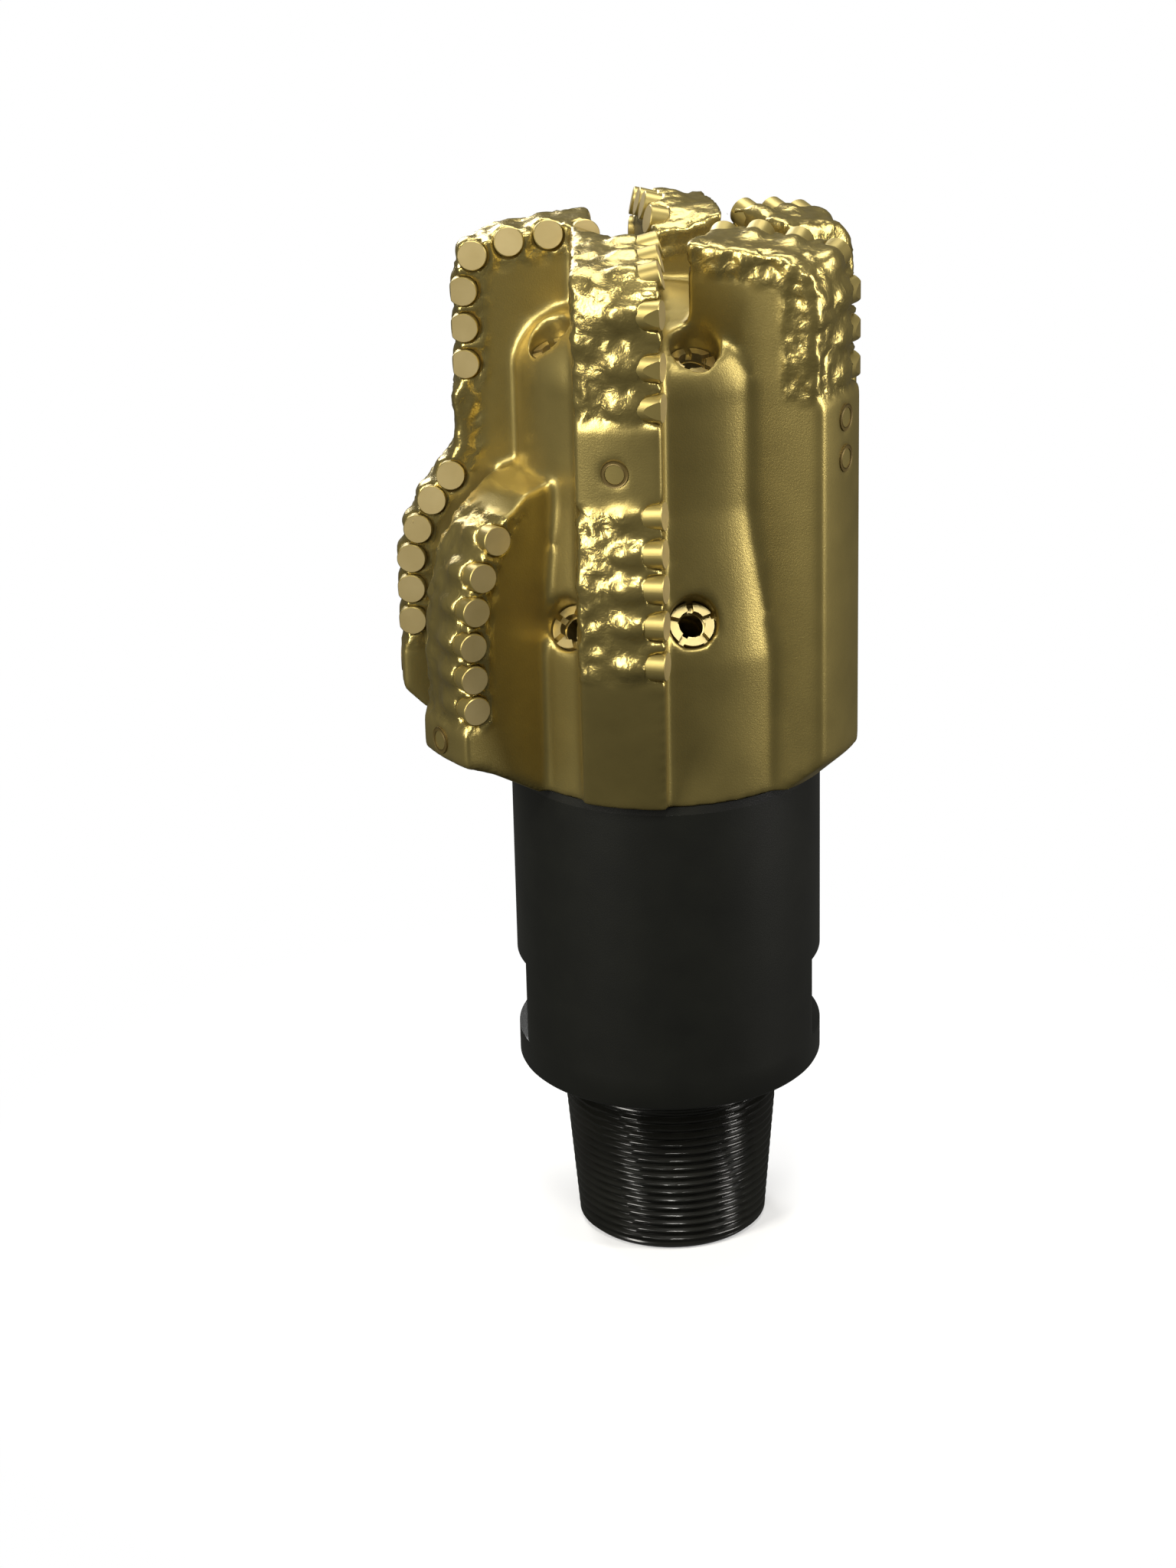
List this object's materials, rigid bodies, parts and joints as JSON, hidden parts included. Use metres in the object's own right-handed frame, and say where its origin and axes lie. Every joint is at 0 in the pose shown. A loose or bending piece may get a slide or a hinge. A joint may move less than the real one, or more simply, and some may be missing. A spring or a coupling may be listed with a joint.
{
  "type": "pdc drill bit",
  "caption": "Steel-body bicentre PDC drill bit: concentric pilot, offset reamer wing, screwed nozzles, and a shank with breaker slots and a tapered threaded pin.",
  "frame": {"origin": "centre of the pin's end face", "axes": "+Z along the bit axis towards the cutting end; the reamer wing is towards -X; -Y faces the viewer's front"},
  "size_m": [0.307, 0.3009, 0.7194],
  "materials": {
    "gold_paint": "satin metallic paint",
    "cutter_faces": "polycrystalline diamond on tungsten carbide, lightly painted over",
    "carbide": "ground flush",
    "nozzle_metal": "satin",
    "seal_rubber": "matte",
    "weld_black": "satin coating over weld",
    "black_coating": "black phosphate coating, oiled on the thread"
  },
  "bodies": {
    "root": {"crown_body": "gold_paint", "crown_weld": "weld_black", "cutters_pilot_blade_1": "cutter_faces", "cutters_pilot_blade_3": "cutter_faces", "cutters_pilot_blade_5": "cutter_faces", "cutters_pilot_blade_6": "cutter_faces", "cutters_pilot_blade_7": "cutter_faces", "cutters_wing_blade_1": "cutter_faces", "cutters_wing_blade_2": "cutter_faces", "cutters_wing_blade_3": "cutter_faces", "cutters_wing_blade_4": "cutter_faces", "cutters_wing_blade_5": "cutter_faces", "gauge_buttons_blade_1": "carbide", "gauge_buttons_blade_2": "carbide", "gauge_buttons_blade_3": "carbide", "gauge_buttons_blade_4": "carbide", "gauge_buttons_blade_5": "carbide", "gauge_buttons_blade_6": "carbide", "gauge_buttons_blade_7": "carbide", "nozzle_pilot_blade_1": "nozzle_metal", "nozzle_pilot_blade_3": "nozzle_metal", "nozzle_pilot_blade_5": "nozzle_metal", "nozzle_pilot_blade_6": "nozzle_metal", "nozzle_pilot_blade_7": "nozzle_metal", "nozzle_wing_blade_1": "nozzle_metal", "nozzle_wing_blade_2": "nozzle_metal", "nozzle_wing_blade_3": "nozzle_metal", "nozzle_wing_blade_4": "nozzle_metal", "nozzle_wing_blade_5": "nozzle_metal", "seal_pilot_blade_1": "seal_rubber", "seal_pilot_blade_3": "seal_rubber", "seal_pilot_blade_5": "seal_rubber", "seal_pilot_blade_6": "seal_rubber", "seal_pilot_blade_7": "seal_rubber", "seal_wing_blade_1": "seal_rubber", "seal_wing_blade_2": "seal_rubber", "seal_wing_blade_3": "seal_rubber", "seal_wing_blade_4": "seal_rubber", "seal_wing_blade_5": "seal_rubber", "shank": "black_coating"}
  },
  "joints": []
}
